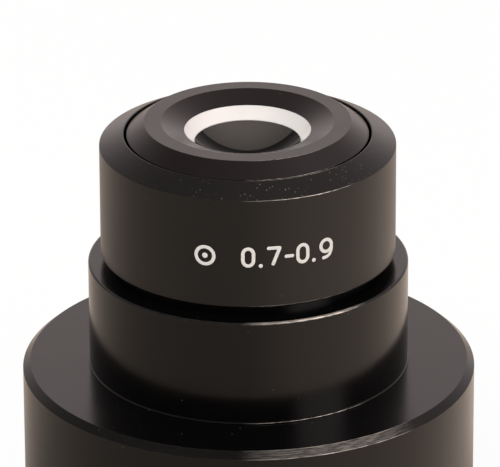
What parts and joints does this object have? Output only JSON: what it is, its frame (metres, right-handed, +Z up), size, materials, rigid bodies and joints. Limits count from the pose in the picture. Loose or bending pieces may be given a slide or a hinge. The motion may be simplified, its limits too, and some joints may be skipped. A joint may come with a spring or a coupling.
{
  "type": "darkfield condenser",
  "caption": "Stepped black darkfield condenser with a conical front cell, a hollow-topped glass with a white exit ring, lenses and a patch stop.",
  "frame": {"origin": "centre of the foot's underside, on the optical axis", "axes": "+Z up the optical axis towards the specimen, -Y towards the side that carries the figures, +X to the right seen from there"},
  "size_m": [0.05, 0.05, 0.0452],
  "materials": {
    "black_anodised": "satin black anodised",
    "matt_black": "matt black anodised",
    "exit_glass": "white exit zone in a blackened glass body",
    "blackened_mirror": "silvered below, black and polished above",
    "clear_glass": "polished",
    "steel": "turned",
    "shim_brass": "rolled",
    "cushion_film": "thin film"
  },
  "bodies": {
    "root": {"base_housing": "black_anodised", "middle_barrel": "black_anodised", "top_cap": "black_anodised", "front_cell": "black_anodised", "barrel_clamp_ring": "black_anodised", "mirror_glass": "exit_glass", "central_mirror": "blackened_mirror", "glass_cushion": "cushion_film", "collector_cushion": "cushion_film", "cell_shim": "shim_brass", "glass_clamp_ring": "matt_black", "second_lens_ring": "matt_black", "collector_ring": "matt_black", "stop_spider": "matt_black", "stop_disc": "matt_black", "spacer_tube": "matt_black", "second_lens": "clear_glass", "collector_lens": "clear_glass", "stop_screw": "steel", "clamp_screws": "steel", "locating_pin": "steel"}
  },
  "joints": []
}
